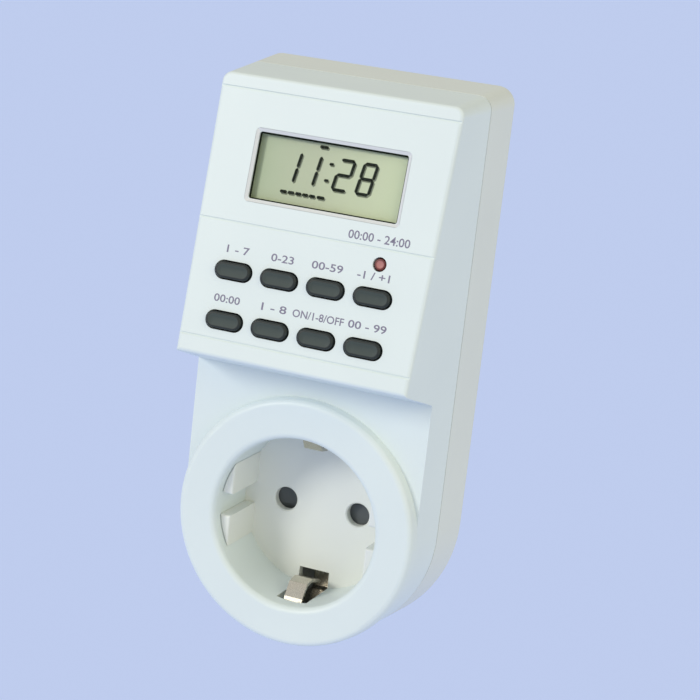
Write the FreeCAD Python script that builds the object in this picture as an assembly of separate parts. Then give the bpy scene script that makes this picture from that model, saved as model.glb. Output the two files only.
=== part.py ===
import FreeCAD, Part
import math
import os

os.makedirs("parts", exist_ok=True)
Vec = FreeCAD.Vector

# Round-pin plug and socket
pin_spacing = 19.0
pin_radius = 2.4
pin_root = 3.0
pin_length = 19.0
plug_depth = 17.0
plug_radius = 19.0
plug_end_wall = 3.0
recess_radius = 20.4
recess_depth = 17.5
recess_rim = 1.5
cup_wall = 2.0
guide_flat = 17.5
guide_height = 10.6
guide_gap = 5.4
guide_setback = 3.2

# Case
body_depth = 30.5
ring_height = 2.9
ring_overhang = 0.5
side_draft = 0.078
rear_half_width = 31.8
rear_top = 105.8
top_draft = 0.11
rear_corner = 4.4
corner_draft = 0.07
wall = 2.0
rear_wall = 2.2
parting_from_ring = 15.5
edge_round = 0.9
rear_edge_round = 1.5
tongue_height = 1.4
tongue_gap = 0.06
seam_width = 0.4
seam_depth = 0.25

# Sloping face of the head
face_top_drop = 0.7
face_top_height = 102.9
face_bottom_reach = 12.5
face_bottom_height = 39.1
head_foot_height = 34.4
line_width = 0.5
line_depth = 0.3
line_rows = (3.6, 33.9, 60.9)

# Display
glass_width = 38.4
glass_height = 18.4
glass_thick = 2.2
glass_side_border = 1.0
glass_end_border = 1.5
window_width = glass_width - 2 * glass_side_border
window_height = glass_height - 2 * glass_end_border
window_x = 0.4
window_row = 20.3
window_round = 0.6
window_seat = 0.8
lens_lip = 1.1
lens_gap = 0.05
frame_rim = 1.4
hook_inset = 7.2
hook_half = 1.5
strip_inset = 3.2
strip_half = 1.1

# Keys
key_length = 9.0
key_height = 4.0
key_pitch = 11.4
key_first_row = 45.0
key_second_row = 56.5
key_x = -0.7
key_proud = 0.9
key_round = 0.45
key_gap = 0.25
key_lip = 0.6
key_lip_thick = 1.0
key_travel = 1.0
reset_x = 16.6
reset_row = 37.4
reset_radius = 1.4
reset_sunk = 0.3

# Boards
board_thick = 1.6
clock_board_depth = 6.0
clock_board_gap = 0.55
clock_board_first = 8.0
clock_board_last = 61.0
clock_board_notch = 16.0
notch_gap = 1.4
mat_thick = 0.8
cell_radius = 5.8
cell_thick = 5.2
cell_x = 13.5
cell_row = 24.0
tab_half = 1.5
tab_thick = 0.3
power_board_half = 22.5
power_board_low = 38.0
power_board_high = 90.0
power_board_standoff = 4.2
power_post_inset = 3.5
power_post_rise = 4.0
power_post_radius = 2.4

# Parts on the power board, each placed above its lower edge
relay_width = 28.0
relay_height = 12.6
relay_depth = 15.6
relay_rise = 16.0
film_width = 17.0
film_height = 8.0
film_depth = 12.0
film_x = -10.5
film_rise = 30.0
can_radius = 4.0
can_length = 11.5
can_x = 10.0
can_rise = 30.5
wire_radius = 0.3
resistor_radius = 1.3
resistor_length = 7.0
resistor_span = 12.0
resistor_x = -10.5
resistor_rise = 39.0
resistor_pitch = 4.0
diode_radius = 1.1
diode_length = 4.2
diode_span = 7.0
diode_x = 4.0
diode_rise = 40.5
diode_pitch = 3.6

# Fasteners
screw_radius = 1.4
screw_head = 2.5
screw_head_thick = 1.6
screw_sink = 2.9
post_radius = 3.0
low_post_inset = 1.45
low_post_angle = 60.0
high_post_inset = 7.8
high_post_drop = 9.8
board_screw_inset = 1.9
board_screw_rise = 9.6
board_screw_radius = 0.9
board_screw_head = 1.7
board_post_radius = 1.8

# Outside of the rear shell
label_width = 40.0
label_height = 26.0
label_depth = 0.3
label_z = 66.0
vent_width = 22.0
vent_height = 1.6
vent_pitch = 3.4
vent_z = 84.0

# Shutter and contacts
floor_thick = 2.2
shutter_thick = 1.8
shutter_radius = 13.2
shutter_gap = 0.3
shutter_turn = 40.0
hub_radius = 1.5
hub_gap = 0.08
spring_room = 2.0
spring_wire = 0.18
hole_radius = 2.9
strip_thick = 0.8
earth_width = 6.0
clip_width = 4.6
contact_wall = 0.6
contact_inner = 2.3

# Planes along the plug axis
rear_y = -plug_depth
ring_y = rear_y - body_depth
panel_y = ring_y + ring_height
parting_y = ring_y + parting_from_ring
floor_y = ring_y + recess_depth
floor_back = floor_y + floor_thick
shutter_front = floor_back + shutter_gap
shutter_back = shutter_front + shutter_thick
bar_front = shutter_back + spring_room
rear_inner = rear_y - rear_wall
face_top_y = ring_y + face_top_drop
face_bottom_y = ring_y - face_bottom_reach
pin_x = pin_spacing / 2
tilt = math.atan2(face_top_y - face_bottom_y, face_top_height - face_bottom_height)
face_length = math.hypot(face_top_y - face_bottom_y, face_top_height - face_bottom_height)
panel_half_width = rear_half_width - side_draft * (rear_y - panel_y)
head_half_width = rear_half_width - side_draft * (rear_y - face_bottom_y)
clock_board_half = head_half_width - wall - clock_board_gap
board_screw_x = clock_board_half - board_screw_inset
high_post_x = rear_half_width - high_post_inset
high_post_z = rear_top - high_post_drop
low_post_circle = panel_half_width - wall - low_post_inset
low_post_x = low_post_circle * math.cos(math.radians(low_post_angle))
low_post_z = -low_post_circle * math.sin(math.radians(low_post_angle))
post_spots = (
    (-low_post_x, low_post_z),
    (low_post_x, low_post_z),
    (-high_post_x, high_post_z),
    (high_post_x, high_post_z),
)


# Basic shapes
def box(x0, x1, y0, y1, z0, z1):
    return Part.makeBox(x1 - x0, y1 - y0, z1 - z0, Vec(x0, y0, z0))


def rod(radius, y0, y1, x=0.0, z=0.0):
    return Part.makeCylinder(radius, y1 - y0, Vec(x, y0, z), Vec(0, 1, 0))


def taper(first, second, y0, y1, x=0.0, z=0.0):
    return Part.makeCone(first, second, y1 - y0, Vec(x, y0, z), Vec(0, 1, 0))


def plate(width, height, radius, y0, y1, x=0.0, z=0.0):
    w = width / 2 - radius
    h = height / 2 - radius
    k = radius * math.sqrt(0.5)
    edges = []
    for sx, sz, ex, ez in ((1, 1, -1, 1), (-1, 1, -1, -1), (-1, -1, 1, -1), (1, -1, 1, 1)):
        across = sz == ez
        lift = radius * sz if across else 0.0
        push = 0.0 if across else radius * sx
        start = Vec(x + sx * w + push, y0, z + sz * h + lift)
        end = Vec(x + ex * w + push, y0, z + ez * h + lift)
        if (end - start).Length > 0.001:
            edges.append(Part.makeLine(start, end))
        turn = Vec(x + ex * (w + k), y0, z + ez * (h + k))
        stop_push = ex * radius if across else 0.0
        stop_lift = 0.0 if across else ez * radius
        stop = Vec(x + ex * w + stop_push, y0, z + ez * h + stop_lift)
        edges.append(Part.Arc(end, turn, stop).toShape())
    return Part.Face(Part.Wire(edges)).extrude(Vec(0, y1 - y0, 0))


def pill(length, height, y0, y1, x=0.0, z=0.0):
    r = height / 2
    s = length / 2 - r
    edges = [
        Part.makeLine(Vec(x - s, y0, z + r), Vec(x + s, y0, z + r)),
        Part.Arc(Vec(x + s, y0, z + r), Vec(x + s + r, y0, z), Vec(x + s, y0, z - r)).toShape(),
        Part.makeLine(Vec(x + s, y0, z - r), Vec(x - s, y0, z - r)),
        Part.Arc(Vec(x - s, y0, z - r), Vec(x - s - r, y0, z), Vec(x - s, y0, z + r)).toShape(),
    ]
    return Part.Face(Part.Wire(edges)).extrude(Vec(0, y1 - y0, 0))


def side_slab(points, half, x=0.0):
    corners = [Vec(x - half, y, z) for y, z in points]
    outline_wire = Part.makePolygon(corners + [corners[0]])
    return Part.Face(outline_wire).extrude(Vec(2 * half, 0, 0))


def strip(points, thick, half, x=0.0):
    flat = [Vec(x - half, y, z) for y, z in points]
    left = []
    right = []
    for i, here in enumerate(flat):
        before = flat[max(i - 1, 0)]
        after = flat[min(i + 1, len(flat) - 1)]
        first = (here - before) if i else (after - here)
        last = (after - here) if i < len(flat) - 1 else first
        first.normalize()
        last.normalize()
        n1 = Vec(0, -first.z, first.y)
        n2 = Vec(0, -last.z, last.y)
        mitre = n1 + n2
        mitre.normalize()
        reach = thick / 2 / mitre.dot(n1)
        left.append(here + mitre * reach)
        right.append(here - mitre * reach)
    loop = left + right[::-1]
    return Part.Face(Part.makePolygon(loop + [loop[0]])).extrude(Vec(2 * half, 0, 0))


def lead(points, radius):
    spots = [Vec(*p) for p in points]
    shape = None
    for a, b in zip(spots, spots[1:]):
        piece = Part.makeCylinder(radius, (b - a).Length, a, b - a)
        shape = piece if shape is None else shape.fuse(piece)
    for spot in spots[1:-1]:
        shape = shape.fuse(Part.makeSphere(radius, spot))
    return shape.removeSplitter()


def turned(profile):
    points = [Vec(r, y, 0) for r, y in profile]
    face = Part.Face(Part.makePolygon(points + [points[0]]))
    return face.revolve(Vec(0, 0, 0), Vec(0, 1, 0), 360)


def join(shapes):
    return shapes[0].multiFuse(shapes[1:]).removeSplitter()


def soften(shape, radius, picked):
    if not picked:
        return shape
    try:
        rounded = shape.makeFillet(radius, picked)
    except Part.OCCError:
        return shape
    return rounded if rounded.isValid() else shape


def level_edges(shape, y):
    picked = []
    for edge in shape.Edges:
        bounds = edge.BoundBox
        if abs(bounds.YMin - y) < 0.01 and abs(bounds.YMax - y) < 0.01:
            picked.append(edge)
    return picked


# The face has its own axes: x across, y into the case, minus z down the slope
def on_face(shape):
    placed = shape.copy()
    placed.rotate(Vec(0, 0, 0), Vec(1, 0, 0), -math.degrees(tilt))
    placed.translate(Vec(0, face_top_y, face_top_height))
    return placed


def face_point(x, depth, row):
    y = face_top_y + depth * math.cos(tilt) - row * math.sin(tilt)
    z = face_top_height - depth * math.sin(tilt) - row * math.cos(tilt)
    return (x, y, z)


def half_width(y):
    return rear_half_width - side_draft * (rear_y - y)


def top_height(y):
    return rear_top - top_draft * (rear_y - y)


def corner_radius(y, inset):
    return max(rear_corner - corner_draft * (rear_y - y) - inset, 0.6)


# Case outline: round foot about the socket, straight sides, flat top
def outline(y, inset):
    w = half_width(y) - inset
    top = top_height(y) - inset
    r = corner_radius(y, inset)
    k = r * (1 - math.sqrt(0.5))
    edges = [
        Part.makeLine(Vec(-w, y, 0), Vec(-w, y, top - r)),
        Part.Arc(Vec(-w, y, top - r), Vec(-w + k, y, top - k), Vec(-w + r, y, top)).toShape(),
        Part.makeLine(Vec(-w + r, y, top), Vec(w - r, y, top)),
        Part.Arc(Vec(w - r, y, top), Vec(w - k, y, top - k), Vec(w, y, top - r)).toShape(),
        Part.makeLine(Vec(w, y, top - r), Vec(w, y, 0)),
        Part.Arc(Vec(w, y, 0), Vec(0, y, -w), Vec(-w, y, 0)).toShape(),
    ]
    return Part.Wire(edges)


def case_block(y0, y1, inset):
    return Part.makeLoft([outline(y0, inset), outline(y1, inset)], True, True)


def side_profile(back_y, inset):
    high = rear_top + 10
    low = -rear_half_width - 10
    face_high_y = face_top_y + (high - face_top_height) * math.tan(tilt)
    foot_slope = (face_bottom_height - head_foot_height) / (panel_y - face_bottom_y)
    foot_lift = inset * math.sqrt(1 + foot_slope ** 2)
    face_shift = inset / math.cos(tilt)
    shoulder_y = panel_y + inset
    shoulder_z = head_foot_height + foot_lift - foot_slope * inset
    # Meeting point of the sloping face and the underside of the head
    run = face_bottom_height - head_foot_height
    nose_y = face_bottom_y
    nose_z = face_bottom_height
    if inset:
        face_k = math.tan(tilt)
        rise = face_shift + foot_lift * face_k
        nose_y = face_bottom_y + rise / (1 + foot_slope * face_k)
        nose_z = head_foot_height + foot_lift + foot_slope * (panel_y - nose_y)
    points = [
        (back_y, low),
        (shoulder_y, low),
        (shoulder_y, shoulder_z),
        (nose_y, nose_z),
        (face_high_y + face_shift, high),
        (back_y, high),
    ]
    return side_slab(points, rear_half_width + 10)


# Front shell
front_limit = face_bottom_y - 4
outer_front = case_block(front_limit, parting_y, 0).common(side_profile(parting_y, 0))


def on_slope(edge):
    for vertex in (edge.Vertexes[0].Point, edge.Vertexes[-1].Point, edge.valueAt(edge.FirstParameter)):
        drop = (face_top_height - vertex.z) * math.tan(tilt)
        if abs(vertex.y - (face_top_y - drop)) > 0.02:
            return False
    return True


outer_front = soften(outer_front, edge_round, [e for e in outer_front.Edges if on_slope(e)])
hollow_front = case_block(front_limit, parting_y + 1, wall).common(side_profile(parting_y + 1, wall))
ring_front_radius = half_width(ring_y) + ring_overhang
ring_root_radius = half_width(panel_y) + ring_overhang
ring_hollow_radius = half_width(panel_y) - wall - 0.3
rim = recess_rim
bend = rim * (1 - math.sqrt(0.5))
cup_outer = recess_radius + cup_wall
ring_edges = [
    Part.makeLine(Vec(recess_radius, floor_y, 0), Vec(recess_radius, ring_y + rim, 0)),
    Part.Arc(
        Vec(recess_radius, ring_y + rim, 0),
        Vec(recess_radius + bend, ring_y + bend, 0),
        Vec(recess_radius + rim, ring_y, 0),
    ).toShape(),
    Part.makeLine(Vec(recess_radius + rim, ring_y, 0), Vec(ring_front_radius - rim, ring_y, 0)),
    Part.Arc(
        Vec(ring_front_radius - rim, ring_y, 0),
        Vec(ring_front_radius - bend, ring_y + bend, 0),
        Vec(ring_front_radius, ring_y + rim, 0),
    ).toShape(),
    Part.makeLine(Vec(ring_front_radius, ring_y + rim, 0), Vec(ring_root_radius, panel_y, 0)),
    Part.makeLine(Vec(ring_root_radius, panel_y, 0), Vec(ring_root_radius - 1, panel_y + wall / 2, 0)),
    Part.makeLine(Vec(ring_root_radius - 1, panel_y + wall / 2, 0), Vec(cup_outer, panel_y + wall / 2, 0)),
    Part.makeLine(Vec(cup_outer, panel_y + wall / 2, 0), Vec(cup_outer, floor_y, 0)),
    Part.makeLine(Vec(cup_outer, floor_y, 0), Vec(recess_radius, floor_y, 0)),
]
socket_ring = Part.Face(Part.Wire(ring_edges)).revolve(Vec(0, 0, 0), Vec(0, 1, 0), 360)
ring_hollow = rod(ring_hollow_radius, ring_y + wall, panel_y + wall)
ring_hollow = ring_hollow.cut(rod(cup_outer, ring_y, panel_y + wall))
socket_ring = socket_ring.cut(ring_hollow)
front_shell = outer_front.cut(hollow_front)
front_shell = front_shell.cut(rod(recess_radius + 0.5, panel_y - 1, panel_y + wall + 1))
front_shell = front_shell.cut(ring_hollow)
inner_parts = []
cup_room = rod(cup_outer - 0.3, front_limit, floor_y).fuse(rod(cup_outer + 0.1, floor_y, floor_back + 0.1))
for x, z in post_spots:
    inner_parts.append(rod(post_radius, front_limit, parting_y, x, z).cut(cup_room))
for side in (-1, 1):
    edge_x = side * (half_width(panel_y) + 1)
    near_x = side * (high_post_x + post_radius - 0.6)
    inner_parts.append(box(min(edge_x, near_x), max(edge_x, near_x), front_limit, parting_y,
                           high_post_z - 0.6, high_post_z + 0.6))
    for height in (48.0, 62.0, 76.0):
        rib_in = side * (half_width(panel_y) - wall - 1.6)
        inner_parts.append(box(min(edge_x, rib_in), max(edge_x, rib_in), panel_y + 6, parting_y - 3,
                               height - 0.6, height + 0.6))
for angle in (35.0, 145.0):
    rib = box(cup_outer - 0.3, rear_half_width, panel_y, parting_y - 2, -0.6, 0.6)
    rib.rotate(Vec(0, 0, 0), Vec(0, 1, 0), -angle)
    inner_parts.append(rib.common(rod(half_width(panel_y) - 0.5, front_limit, parting_y)))
core_front = case_block(front_limit, parting_y, wall / 2).common(side_profile(parting_y, wall / 2))
inner_parts = [piece.common(core_front) for piece in inner_parts]
front_shell = join([front_shell, socket_ring] + inner_parts)

face_cuts = []
window_z = -window_row
window = plate(window_width, window_height, window_round, -1, wall + 1, window_x, window_z)
lens_w = window_width + 2 * lens_lip
lens_h = window_height + 2 * lens_lip
lens_seat = plate(lens_w, lens_h, window_round, window_seat, wall + 1, window_x, window_z)
bevel = window_seat
bevel_front = plate(window_width + 2 * bevel, window_height + 2 * bevel, 1.0, -0.05, bevel * 0.5,
                    window_x, window_z)
face_cuts += [window, lens_seat, bevel_front]
key_spots = []
for row in (key_first_row, key_second_row):
    for column in range(4):
        key_spots.append((key_x + (column - 1.5) * key_pitch, -row))
for x, z in key_spots:
    face_cuts.append(pill(key_length + 2 * key_gap, key_height + 2 * key_gap, -1, wall + 1, x, z))
face_cuts.append(rod(reset_radius + key_gap, -1, wall + 1, reset_x, -reset_row))
for row in line_rows:
    face_cuts.append(box(-40, 40, -1, line_depth, -row - line_width / 2, -row + line_width / 2))
middle_row = (key_first_row + key_second_row) / 2
upper_row = key_first_row - board_screw_rise
board_spots = tuple((side * board_screw_x, -row) for row in (upper_row, middle_row) for side in (-1, 1))
board_posts = [rod(board_post_radius, wall - 0.3, clock_board_depth, x, z) for x, z in board_spots]
board_posts = [on_face(post) for post in board_posts]
front_shell = join([front_shell] + board_posts)
pilot_holes = [rod(board_screw_radius + 0.02, wall, clock_board_depth + 1, x, z) for x, z in board_spots]
front_shell = front_shell.cut(Part.makeCompound([on_face(cut) for cut in face_cuts + pilot_holes]))
screw_end = parting_y - 7.0
screw_tip = screw_end - 1.5
for x, z in post_spots:
    front_shell = front_shell.cut(rod(screw_radius + 0.02, screw_tip - 0.5, parting_y + 1, x, z))
rebate = case_block(parting_y - tongue_height - 0.1, parting_y + 1, wall / 2)
for x, z in post_spots:
    rebate = rebate.cut(rod(post_radius, front_limit, parting_y + 2, x, z))
rebate = rebate.cut(rod(cup_outer + 0.1, front_limit, parting_y + 2))
front_shell = front_shell.cut(rebate)
earth_slot_half = earth_width / 2 + 0.9
slot_front = ring_y + 4.6
for side in (-1, 1):
    z_near = side * (recess_radius - 5)
    z_far = side * (cup_outer + 1)
    front_shell = front_shell.cut(box(-earth_slot_half, earth_slot_half, slot_front, floor_y + 1,
                                      min(z_near, z_far), max(z_near, z_far)))

# Socket insert with floor, guide blocks and shutter pivot
hub_end = bar_front
insert = [rod(cup_outer, floor_y, floor_back)]
guide_disc = rod(recess_radius - 0.08, ring_y + guide_setback, floor_y)
for side in (-1, 1):
    for lift in (-1, 1):
        z_near = lift * guide_gap / 2
        z_far = lift * guide_height
        x_far = side * (recess_radius + 1)
        block = box(min(side * guide_flat, x_far), max(side * guide_flat, x_far), ring_y, floor_y + 0.2,
                    min(z_near, z_far), max(z_near, z_far)).common(guide_disc)
        block = soften(block, 0.5, level_edges(block, ring_y + guide_setback))
        insert.append(block)
insert.append(rod(hub_radius, floor_back - 0.2, hub_end))
stop_radius = 4.4
peg_radius = 0.6
insert.append(rod(peg_radius, floor_back - 0.2, shutter_back - 0.3, 0, stop_radius))
anchor_radius = 0.5
spring_radius = hub_radius + 0.45
anchor_x = spring_radius - spring_wire - anchor_radius - 0.02
anchor_z = -15.0
insert.append(rod(anchor_radius, floor_back - 0.2, bar_front, anchor_x, anchor_z))
socket_insert = join(insert)
for side in (-1, 1):
    hole = rod(hole_radius, floor_y - 1, floor_back + 1, side * pin_x)
    mouth = taper(hole_radius + 0.3, hole_radius, floor_y, floor_y + 0.3, side * pin_x)
    socket_insert = socket_insert.cut(hole.fuse(mouth))
    z_near = side * (recess_radius - 4.4)
    z_far = side * (cup_outer + 1)
    socket_insert = socket_insert.cut(box(-earth_slot_half, earth_slot_half, floor_y - 1, floor_back + 1,
                                          min(z_near, z_far), max(z_near, z_far)))

# Shutter: two blades over the holes, two openings turned away, sloped push faces
shutter = rod(shutter_radius, shutter_front, shutter_back)
collar_rise = 0.3
shutter = shutter.fuse(rod(hub_radius + 1.6, shutter_back - 0.1, shutter_back + collar_rise))
shutter = shutter.cut(rod(hub_radius + hub_gap, shutter_front - 1, shutter_back + 1))
opening_radius = hole_radius + 0.1
for turn in (0.0, 180.0):
    opening = rod(opening_radius, shutter_front - 1, shutter_back + 1, pin_x)
    opening.rotate(Vec(0, 0, 0), Vec(0, 1, 0), -(turn + shutter_turn))
    ramp_points = [(shutter_front - 0.2, 0.0), (shutter_front - 0.2, 5.2), (shutter_front + 1.2, 5.2)]
    ramp = side_slab(ramp_points, 2.2, pin_x)
    ramp.rotate(Vec(0, 0, 0), Vec(0, 1, 0), -(turn + 0.15 * shutter_turn))
    shutter = shutter.cut(opening.fuse(ramp))
    trim = box(shutter_radius - 2.2, shutter_radius + 1, shutter_front - 1, shutter_back + 1, -4, 4)
    trim.rotate(Vec(0, 0, 0), Vec(0, 1, 0), -(turn + 100))
    shutter = shutter.cut(trim)
slot_in = stop_radius - peg_radius - 0.35
slot_out = stop_radius + peg_radius + 0.35
stop_slot = rod(slot_out, shutter_front - 1, shutter_back + 1)
stop_slot = stop_slot.cut(rod(slot_in, shutter_front - 2, shutter_back + 2))
slot_edge = math.degrees((peg_radius + 0.35) / stop_radius)
slot_sweep = shutter_turn + 2 * slot_edge
wedge = Part.makeCylinder(slot_out + 2, 6, Vec(0, shutter_front - 2, 0), Vec(0, 1, 0), slot_sweep)
middle = wedge.CenterOfMass
now = math.degrees(math.atan2(middle.z, middle.x))
wedge.rotate(Vec(0, 0, 0), Vec(0, 1, 0), now - (90.0 + shutter_turn / 2))
shutter = shutter.cut(stop_slot.common(wedge))
catch_radius = 0.5
catch_x = -(spring_radius - spring_wire - catch_radius - 0.02)
catch_z = -7.0
shutter = shutter.fuse(rod(catch_radius, shutter_back - 0.2, shutter_back + 1.3, catch_x, catch_z))

# Return spring of the shutter: one and a half turns, each end straight along its tangent
spring_pitch = 2.2 * spring_wire
coil_start = shutter_back + collar_rise + spring_wire + 0.05
slope = Vec(0, spring_radius, spring_pitch / (2 * math.pi))
slope.normalize()
coil = Part.Wire(Part.makeHelix(spring_pitch, 1.5 * spring_pitch, spring_radius))
section = Part.Wire(Part.makeCircle(spring_wire, Vec(spring_radius, 0, 0), slope))
spring = coil.makePipeShell([section], True, True)
moving_arm = Part.makeCylinder(spring_wire, -catch_z + 0.8, Vec(spring_radius, 0, 0), slope * -1)
coil_top = Vec(-spring_radius, 0, 1.5 * spring_pitch)
fixed_arm = Part.makeCylinder(spring_wire, -anchor_z + 0.8, coil_top, Vec(0, -slope.y, slope.z))
shutter_spring = join([spring, moving_arm, fixed_arm])
shutter_spring.rotate(Vec(0, 0, 0), Vec(1, 0, 0), -90)
shutter_spring.rotate(Vec(0, 0, 0), Vec(0, 1, 0), 180)
shutter_spring.translate(Vec(0, coil_start, 0))

# Rear shell with the plug
rear_shell = case_block(parting_y, rear_y, 0)
rear_shell = soften(rear_shell, rear_edge_round, level_edges(rear_shell, rear_y))
rear_hollow = case_block(parting_y - 1, rear_inner, wall)
seam = case_block(parting_y - 1, parting_y + seam_width, -1)
seam = seam.cut(case_block(parting_y - 2, parting_y + 1, seam_depth))
rear_outer = rear_shell.cut(seam)
tongue = case_block(parting_y - tongue_height, parting_y + 0.4, wall / 2 + tongue_gap)
for x, z in post_spots:
    tongue = tongue.cut(rod(post_radius + 0.2, parting_y - 4, parting_y, x, z))
rear_shell = rear_outer.fuse(tongue).cut(rear_hollow)
tongue_inner = case_block(parting_y - 3, parting_y + 1, wall)
rear_shell = rear_shell.cut(tongue_inner)
plug_body = rod(plug_radius, rear_y - 0.1, 0)
plug_body = soften(plug_body, 0.8, level_edges(plug_body, 0))
flat_y = rear_y + 2.0
for side in (-1, 1):
    for lift in (-1, 1):
        z_near = lift * (guide_gap / 2 - 0.5)
        z_far = lift * plug_radius
        x_near = side * (guide_flat - 1.0)
        x_far = side * (plug_radius + 1)
        plug_body = plug_body.cut(box(min(x_near, x_far), max(x_near, x_far), flat_y, 1,
                                      min(z_near, z_far), max(z_near, z_far)))
inner_parts = [plug_body]
for x, z in post_spots:
    inner_parts.append(rod(post_radius, parting_y, rear_inner + 0.3, x, z).cut(cup_room))
stand_y = rear_inner - power_board_standoff
power_post_x = power_board_half - power_post_inset
power_post_rows = (power_board_low + power_post_rise, power_board_high - power_post_rise)
power_spots = tuple((side * power_post_x, row) for row in power_post_rows for side in (-1, 1))
for x, z in power_spots:
    inner_parts.append(rod(power_post_radius, stand_y, rear_inner + 0.3, x, z))
prop = 14.2
for side in (-1, 1):
    for lift in (-1, 1):
        inner_parts.append(taper(1.3, 1.9, floor_back, rear_inner + 0.3, side * prop, lift * prop))
rib_x = rear_half_width - wall - 2.2
for side in (-1, 1):
    inner_parts.append(box(side * rib_x - 0.6, side * rib_x + 0.6, parting_y + 2, rear_inner + 0.3,
                           power_board_low - 4, power_board_high - 2))
inner_parts.append(box(-6.0, 6.0, rear_inner - 3.0, rear_inner + 0.3, 30.4, 31.6))
rear_core = case_block(parting_y, rear_y, wall / 2)
inner_parts = [inner_parts[0]] + [piece.common(rear_core) for piece in inner_parts[1:]]
rear_shell = join([rear_shell] + inner_parts)
boss_hollow = rod(plug_radius - 2.8, rear_inner - 0.5, -plug_end_wall)
boss_hollow = boss_hollow.common(box(-plug_radius, plug_radius, rear_inner - 1, 0, -14.4, 14.4))
hollow_half = guide_flat - 2.5
boss_hollow = boss_hollow.common(box(-hollow_half, hollow_half, rear_inner - 1, 0, -20, 20))
rear_shell = rear_shell.cut(boss_hollow)
channel_half = earth_width / 2 + 0.3
channel_floor = 16.3
for side in (-1, 1):
    z_near = side * channel_floor
    z_far = side * (plug_radius + 2)
    rear_shell = rear_shell.cut(box(-channel_half, channel_half, rear_y - 4, 1,
                                    min(z_near, z_far), max(z_near, z_far)))
    rear_shell = rear_shell.cut(rod(pin_root + 0.02, -plug_end_wall - 1, 1, side * pin_x))
screw_seat = rear_y - screw_sink
for x, z in post_spots:
    rear_shell = rear_shell.cut(rod(screw_head + 0.25, screw_seat, rear_y + 1, x, z))
    rear_shell = rear_shell.cut(rod(screw_radius + 0.2, parting_y - 3, rear_y, x, z))
for x, z in power_spots:
    rear_shell = rear_shell.cut(rod(board_screw_radius + 0.02, stand_y - 1, stand_y + 3.4, x, z))
label_y = rear_y - label_depth
rear_shell = rear_shell.cut(plate(label_width, label_height, 1.5, label_y, rear_y + 1, 0, label_z))
for step in range(4):
    rear_shell = rear_shell.cut(plate(vent_width, vent_height, 0.7, rear_inner - 1, rear_y + 1,
                                      0, vent_z + vent_pitch * step))

# Display
display_window = plate(lens_w - 2 * lens_gap, lens_h - 2 * lens_gap, window_round, window_seat, wall,
                       window_x, window_z)
display_window = soften(display_window, 0.2, level_edges(display_window, window_seat))
glass_y = wall + 0.05
display_glass = plate(glass_width, glass_height - 1.6, 0.3, glass_y, glass_y + glass_thick / 2,
                      window_x, window_z)
display_glass = display_glass.fuse(plate(glass_width, glass_height, 0.3, glass_y + glass_thick / 2,
                                         glass_y + glass_thick, window_x, window_z))
frame_w = glass_width + 2 * frame_rim
frame_h = glass_height + 2 * frame_rim
display_frame = plate(frame_w, frame_h, 1.0, glass_y, clock_board_depth, window_x, window_z)
display_frame = display_frame.cut(plate(glass_width + 0.1, glass_height + 0.1, 0.3, glass_y - 1,
                                        glass_y + glass_thick, window_x, window_z))
display_frame = display_frame.cut(plate(glass_width - 2, glass_height - 0.4, 0.3,
                                        glass_y, clock_board_depth + 1, window_x, window_z))
hook_spots = tuple(window_x + side * (glass_width / 2 - hook_inset) for side in (-1, 1))
hook_top = window_z + frame_h / 2
for x in hook_spots:
    hook = box(x - hook_half, x + hook_half, clock_board_depth - 0.1,
               clock_board_depth + board_thick + 1.0, hook_top - frame_rim, hook_top)
    display_frame = display_frame.fuse(hook)
strip_front = glass_y + glass_thick
strips = []
for side in (-1, 1):
    row_z = window_z + side * (glass_height / 2 - 1.6)
    reach = glass_width / 2 - strip_inset
    strips.append(box(window_x - reach, window_x + reach, strip_front, clock_board_depth,
                      row_z - strip_half, row_z + strip_half))
contact_strips = Part.makeCompound(strips)

# Clock board with notched corners for the case posts
clock_mid = -(clock_board_first + clock_board_last) / 2
clock_back = clock_board_depth + board_thick
clock_board = plate(2 * clock_board_half, clock_board_last - clock_board_first, 1.0,
                    clock_board_depth, clock_back, 0, clock_mid)
for side in (-1, 1):
    notch_in = side * (high_post_x - post_radius - notch_gap)
    notch_out = side * (clock_board_half + 1)
    clock_board = clock_board.cut(box(min(notch_in, notch_out), max(notch_in, notch_out), 0, 12,
                                      -clock_board_notch, 0))
for x in hook_spots:
    clock_board = clock_board.cut(box(x - hook_half - 0.2, x + hook_half + 0.2, 0, 12,
                                      hook_top - frame_rim - 0.2, hook_top + 0.2))
for x, z in board_spots:
    clock_board = clock_board.cut(rod(board_screw_radius + 0.2, 0, 12, x, z))
board_screws = []
for x, z in board_spots:
    shank = rod(board_screw_radius, wall + 0.6, clock_back, x, z)
    head = rod(board_screw_head, clock_back, clock_back + 1.1, x, z)
    head = head.cut(box(x - 0.25, x + 0.25, clock_back + 0.6, clock_back + 2, z - 1.1, z + 1.1))
    head = head.cut(box(x - 1.1, x + 1.1, clock_back + 0.6, clock_back + 2, z - 0.25, z + 0.25))
    board_screws.append(on_face(shank.fuse(head)))
chip_cap = Part.makeSphere(9.0, Vec(-8, clock_back - 7.4, -27))
chip_cap = chip_cap.common(box(-20, 10, clock_back, clock_back + 3, -40, -10))
crystal = Part.makeCylinder(1.0, 6.0, Vec(4, clock_back + 1.0, -30), Vec(0, 0, 1))
for side in (-1, 1):
    leg_x = 4 + side * 0.35
    crystal = crystal.fuse(lead([(leg_x, clock_back + 1.0, -29.9), (leg_x, clock_back + 1.0, -31.4),
                                 (leg_x, clock_back, -31.4)], 0.15))
cell_z = -cell_row
cell_lift = clock_back + 0.8
high_level = cell_lift + cell_thick - tab_thick
backup_cell = rod(cell_radius, cell_lift, cell_lift + cell_thick, cell_x, cell_z)
backup_cell = backup_cell.cut(rod(cell_radius - 1.2, high_level, cell_lift + 6, cell_x, cell_z))
tab_low_x = cell_x - tab_half
tab_high_x = cell_x + tab_half
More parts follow.
